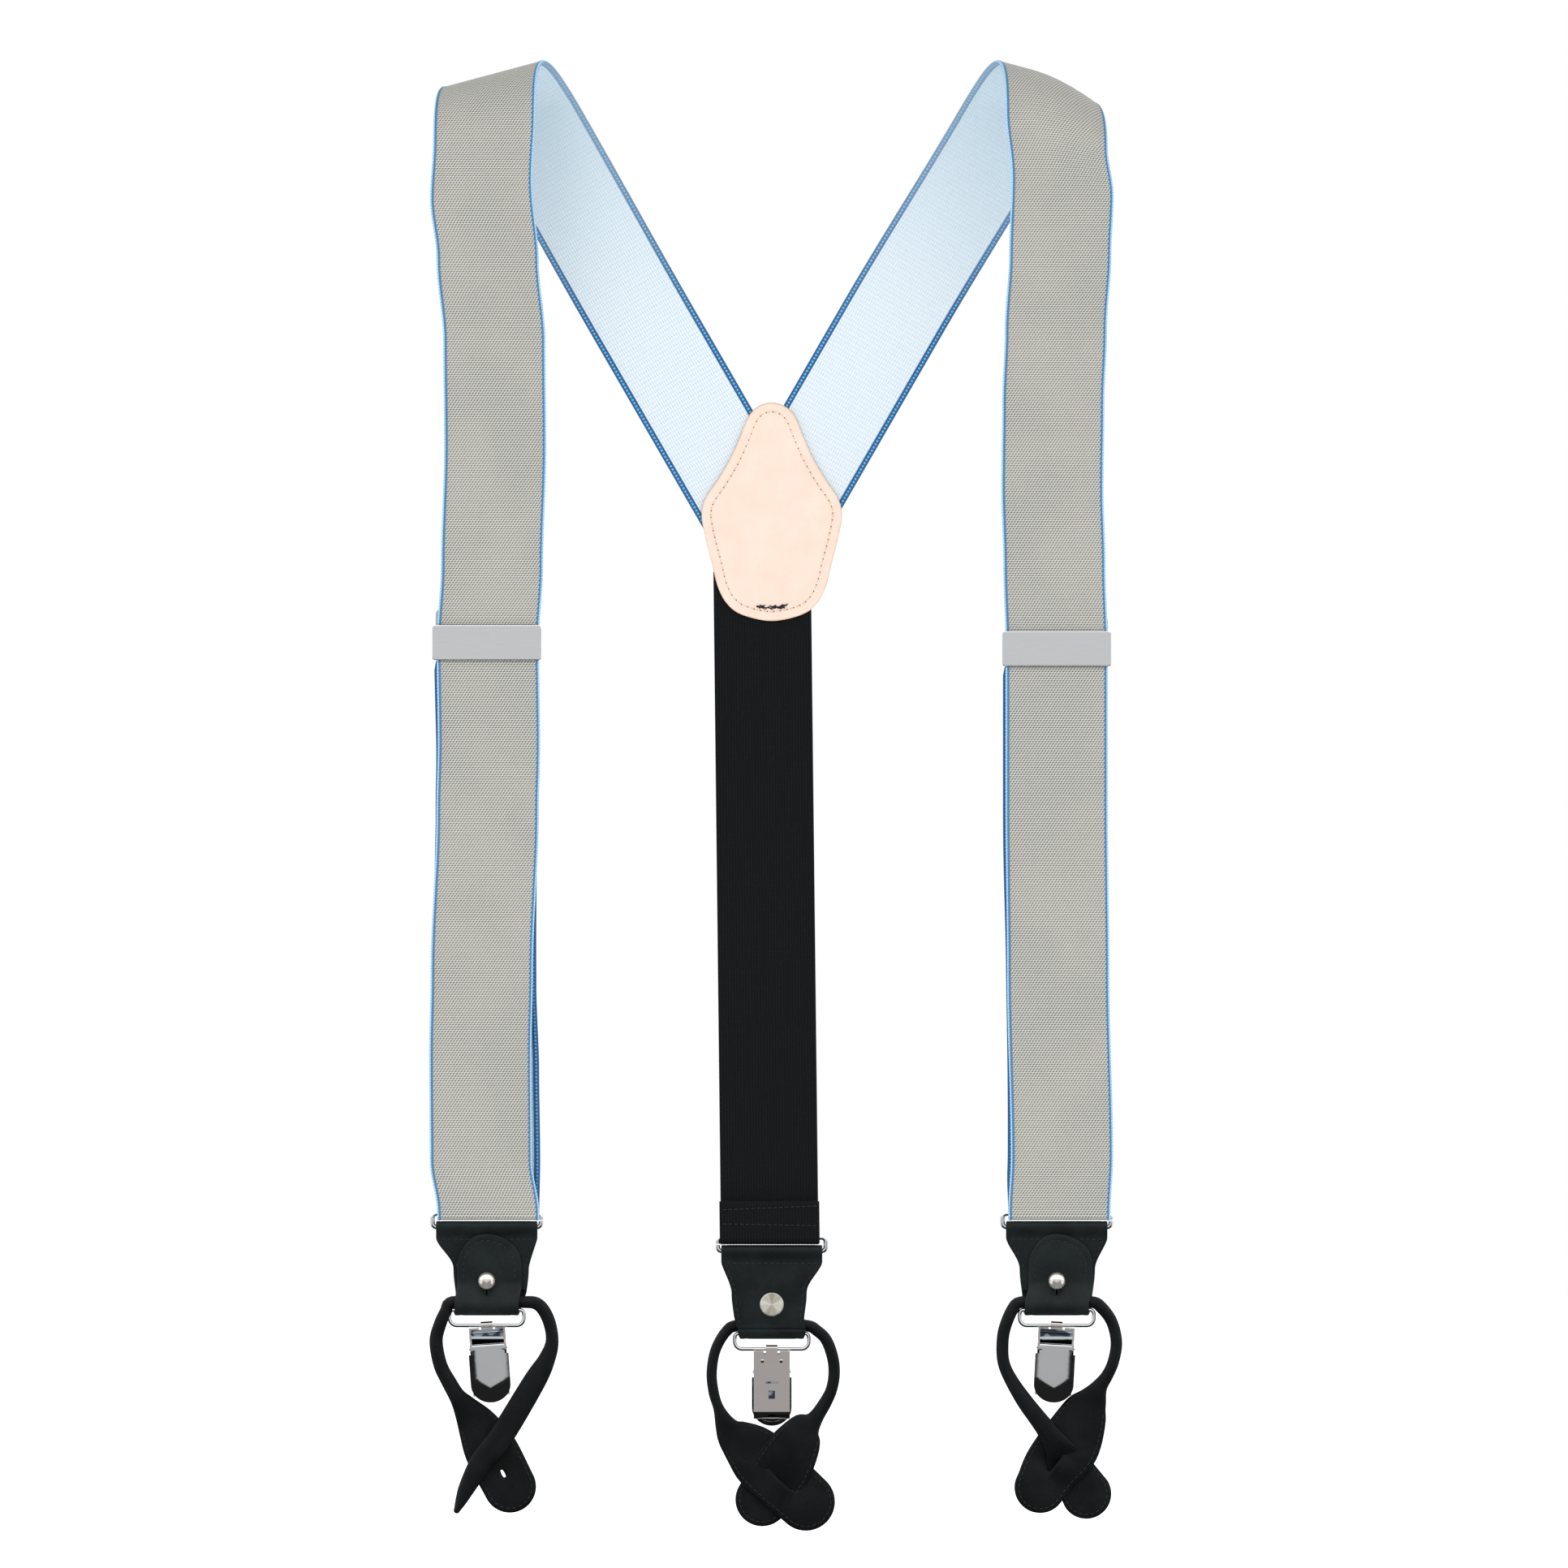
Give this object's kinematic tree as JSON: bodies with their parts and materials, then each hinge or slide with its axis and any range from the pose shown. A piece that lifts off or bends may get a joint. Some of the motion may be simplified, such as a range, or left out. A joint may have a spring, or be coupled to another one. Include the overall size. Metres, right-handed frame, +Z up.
{
  "type": "suspenders",
  "caption": "Y-back convertible suspenders: grey elastic webbing with blue edges over both shoulders, leather back patch, black rear elastic, leather ends with lever clips and button tabs.",
  "frame": {"origin": "centre of the inner face of the leather back patch", "axes": "+Z up towards the shoulders, +X to the right as seen from the front straps' side, +Y from the front straps towards the back strap's outside"},
  "size_m": [0.2384, 0.0475, 0.5059],
  "materials": {
    "webbing": "diagonal weave with bright blue selvedges",
    "elastic": "ribbed black elastic",
    "leather_tan": "smooth vegetable-tanned grain",
    "leather_black": "fine-grained matt black",
    "chrome": "polished plate",
    "nickel": "polished and radially brushed nickel"
  },
  "bodies": {
    "harness": {"back_patch_inner": "leather_tan", "back_patch_outer": "leather_black", "shoulder_strap_left": "webbing", "shoulder_strap_right": "webbing"},
    "adjuster_left": {"adjuster_frame_left": "chrome", "adjuster_pin_left": "chrome"},
    "adjuster_lever_left": {"adjuster_lever_left": "chrome"},
    "strap_end_left": {"lower_strap_left": "webbing"},
    "adjuster_right": {"adjuster_frame_right": "chrome", "adjuster_pin_right": "chrome"},
    "adjuster_lever_right": {"adjuster_lever_right": "chrome"},
    "strap_end_right": {"lower_strap_right": "webbing"},
    "strap_end_rear": {"rear_elastic": "elastic"},
    "strap_loop_left": {"strap_loop_left": "chrome"},
    "leather_end_left": {"leather_end_left": "leather_black", "ball_stud_left": "nickel", "stud_cap_left": "nickel"},
    "leather_flap_left": {"leather_flap_left": "leather_black"},
    "clip_bail_left": {"clip_bail_left": "chrome"},
    "clip_body_left": {"clip_body_left": "chrome", "clip_pin_left": "chrome"},
    "clip_lever_left": {"clip_lever_left": "chrome"},
    "clip_jaw_left": {"clip_jaw_left": "chrome"},
    "button_runner_left": {"button_runner_left": "leather_black"},
    "strap_loop_right": {"strap_loop_right": "chrome"},
    "leather_end_right": {"leather_end_right": "leather_black", "ball_stud_right": "nickel", "stud_cap_right": "nickel"},
    "leather_flap_right": {"leather_flap_right": "leather_black"},
    "clip_bail_right": {"clip_bail_right": "chrome"},
    "clip_body_right": {"clip_body_right": "chrome", "clip_pin_right": "chrome"},
    "clip_lever_right": {"clip_lever_right": "chrome"},
    "clip_jaw_right": {"clip_jaw_right": "chrome"},
    "button_runner_right": {"button_runner_right": "leather_black"},
    "strap_loop_rear": {"strap_loop_rear": "chrome"},
    "leather_end_rear": {"leather_end_rear": "leather_black", "ball_stud_rear": "nickel", "stud_cap_rear": "nickel"},
    "leather_flap_rear": {"leather_flap_rear": "leather_black"},
    "clip_bail_rear": {"clip_bail_rear": "chrome"},
    "clip_body_rear": {"clip_body_rear": "chrome", "clip_pin_rear": "chrome"},
    "clip_lever_rear": {"clip_lever_rear": "chrome"},
    "clip_jaw_rear": {"clip_jaw_rear": "chrome"},
    "button_runner_rear": {"button_runner_rear": "leather_black"}
  },
  "joints": [
    {"name": "adjuster_slide_left", "type": "slide", "parent": "harness", "child": "adjuster_left", "axis": [0, 0, 1], "range_m": [-0.14, 0.09], "deforming": ["shoulder_strap_left"]},
    {"name": "strap_end_slide_left", "type": "slide", "parent": "adjuster_left", "child": "strap_end_left", "axis": [0, 0, 1], "range_m": [-0.045, 0.07], "deforming": ["lower_strap_left"]},
    {"name": "adjuster_lever_left", "type": "hinge", "parent": "adjuster_left", "child": "adjuster_lever_left", "pos_m": [-0.0975, -0.02935, -0.042], "axis": [-1, 0, 0], "range_deg": [0, 95]},
    {"name": "adjuster_slide_right", "type": "slide", "parent": "harness", "child": "adjuster_right", "axis": [0, 0, 1], "range_m": [-0.14, 0.09], "deforming": ["shoulder_strap_right"]},
    {"name": "strap_end_slide_right", "type": "slide", "parent": "adjuster_right", "child": "strap_end_right", "axis": [0, 0, 1], "range_m": [-0.045, 0.07], "deforming": ["lower_strap_right"]},
    {"name": "adjuster_lever_right", "type": "hinge", "parent": "adjuster_right", "child": "adjuster_lever_right", "pos_m": [0.0975, -0.02935, -0.0441], "axis": [-1, 0, 0], "range_deg": [0, 95]},
    {"name": "rear_stretch", "type": "slide", "parent": "harness", "child": "strap_end_rear", "axis": [0, 0, -1], "range_m": [0, 0.06], "stiffness_N_per_m": 170, "deforming": ["rear_elastic"]},
    {"name": "loop_swing_left", "type": "hinge", "parent": "strap_end_left", "child": "strap_loop_left", "pos_m": [-0.0975, -0.0305, -0.2403], "axis": [1, 0, 0], "range_deg": [-40, 40]},
    {"name": "leather_swing_left", "type": "hinge", "parent": "strap_loop_left", "child": "leather_end_left", "pos_m": [-0.0975, -0.0305, -0.2449], "axis": [1, 0, 0], "range_deg": [-35, 35]},
    {"name": "flap_open_left", "type": "hinge", "parent": "leather_end_left", "child": "leather_flap_left", "pos_m": [-0.0975, -0.0326, -0.2718], "axis": [1, 0, 0], "range_deg": [0, 110], "deforming": ["leather_flap_left"]},
    {"name": "bail_swing_left", "type": "hinge", "parent": "leather_end_left", "child": "clip_bail_left", "pos_m": [-0.0975, -0.0326, -0.2732], "axis": [1, 0, 0], "range_deg": [-30, 30]},
    {"name": "clip_swing_left", "type": "hinge", "parent": "clip_bail_left", "child": "clip_body_left", "pos_m": [-0.0975, -0.0326, -0.2785], "axis": [0.9976, 0, 0.0698], "range_deg": [-40, 40]},
    {"name": "clip_lever_left", "type": "hinge", "parent": "clip_body_left", "child": "clip_lever_left", "pos_m": [-0.09697, -0.0353, -0.28608], "axis": [-0.9976, 0, -0.0698], "range_deg": [0, 100]},
    {"name": "clip_jaw_left", "type": "hinge", "parent": "clip_body_left", "child": "clip_jaw_left", "pos_m": [-0.09733, -0.03278, -0.28089], "axis": [-0.9976, 0, -0.0698], "range_deg": [0, 8]},
    {"name": "runner_swing_left", "type": "hinge", "parent": "leather_end_left", "child": "button_runner_left", "pos_m": [-0.0975, -0.0326, -0.2705], "axis": [1, 0, 0], "range_deg": [-30, 30]},
    {"name": "loop_swing_right", "type": "hinge", "parent": "strap_end_right", "child": "strap_loop_right", "pos_m": [0.0975, -0.0305, -0.2403], "axis": [1, 0, 0], "range_deg": [-40, 40]},
    {"name": "leather_swing_right", "type": "hinge", "parent": "strap_loop_right", "child": "leather_end_right", "pos_m": [0.0975, -0.0305, -0.2449], "axis": [1, 0, 0], "range_deg": [-35, 35]},
    {"name": "flap_open_right", "type": "hinge", "parent": "leather_end_right", "child": "leather_flap_right", "pos_m": [0.0975, -0.0326, -0.2718], "axis": [1, 0, 0], "range_deg": [0, 110], "deforming": ["leather_flap_right"]},
    {"name": "bail_swing_right", "type": "hinge", "parent": "leather_end_right", "child": "clip_bail_right", "pos_m": [0.0975, -0.0326, -0.2732], "axis": [1, 0, 0], "range_deg": [-30, 30]},
    {"name": "clip_swing_right", "type": "hinge", "parent": "clip_bail_right", "child": "clip_body_right", "pos_m": [0.0975, -0.0326, -0.2785], "axis": [0.9986, 0, -0.0523], "range_deg": [-40, 40]},
    {"name": "clip_lever_right", "type": "hinge", "parent": "clip_body_right", "child": "clip_lever_right", "pos_m": [0.0971, -0.0353, -0.28609], "axis": [-0.9986, 0, 0.0523], "range_deg": [0, 100]},
    {"name": "clip_jaw_right", "type": "hinge", "parent": "clip_body_right", "child": "clip_jaw_right", "pos_m": [0.09737, -0.03278, -0.2809], "axis": [-0.9986, 0, 0.0523], "range_deg": [0, 8]},
    {"name": "runner_swing_right", "type": "hinge", "parent": "leather_end_right", "child": "button_runner_right", "pos_m": [0.0975, -0.0326, -0.2705], "axis": [1, 0, 0], "range_deg": [-30, 30]},
    {"name": "loop_swing_rear", "type": "hinge", "parent": "strap_end_rear", "child": "strap_loop_rear", "pos_m": [0, 0.0004, -0.2489], "axis": [-1, 0, 0], "range_deg": [-40, 40]},
    {"name": "leather_swing_rear", "type": "hinge", "parent": "strap_loop_rear", "child": "leather_end_rear", "pos_m": [0, 0.0004, -0.2535], "axis": [-1, 0, 0], "range_deg": [-35, 35]},
    {"name": "flap_open_rear", "type": "hinge", "parent": "leather_end_rear", "child": "leather_flap_rear", "pos_m": [0, 0.0025, -0.2804], "axis": [-1, 0, 0], "range_deg": [0, 110], "deforming": ["leather_flap_rear"]},
    {"name": "bail_swing_rear", "type": "hinge", "parent": "leather_end_rear", "child": "clip_bail_rear", "pos_m": [0, 0.0025, -0.2818], "axis": [-1, 0, 0], "range_deg": [-30, 30]},
    {"name": "clip_swing_rear", "type": "hinge", "parent": "clip_bail_rear", "child": "clip_body_rear", "pos_m": [0, 0.0025, -0.2871], "axis": [-1, 0, 0], "range_deg": [-40, 40]},
    {"name": "clip_lever_rear", "type": "hinge", "parent": "clip_body_rear", "child": "clip_lever_rear", "pos_m": [0, 0.0052, -0.2947], "axis": [1, 0, 0], "range_deg": [0, 100]},
    {"name": "clip_jaw_rear", "type": "hinge", "parent": "clip_body_rear", "child": "clip_jaw_rear", "pos_m": [0, 0.00268, -0.2895], "axis": [1, 0, 0], "range_deg": [0, 8]},
    {"name": "runner_swing_rear", "type": "hinge", "parent": "leather_end_rear", "child": "button_runner_rear", "pos_m": [0, 0.0025, -0.2791], "axis": [-1, 0, 0], "range_deg": [-30, 30]}
  ],
  "couplings": [
    {"joint": "strap_end_slide_left", "follows": "adjuster_slide_left", "ratio": -0.5},
    {"joint": "strap_end_slide_right", "follows": "adjuster_slide_right", "ratio": -0.5},
    {"joint": "clip_jaw_left", "follows": "clip_lever_left", "ratio": 0.08},
    {"joint": "clip_jaw_right", "follows": "clip_lever_right", "ratio": 0.08},
    {"joint": "clip_jaw_rear", "follows": "clip_lever_rear", "ratio": 0.08}
  ]
}
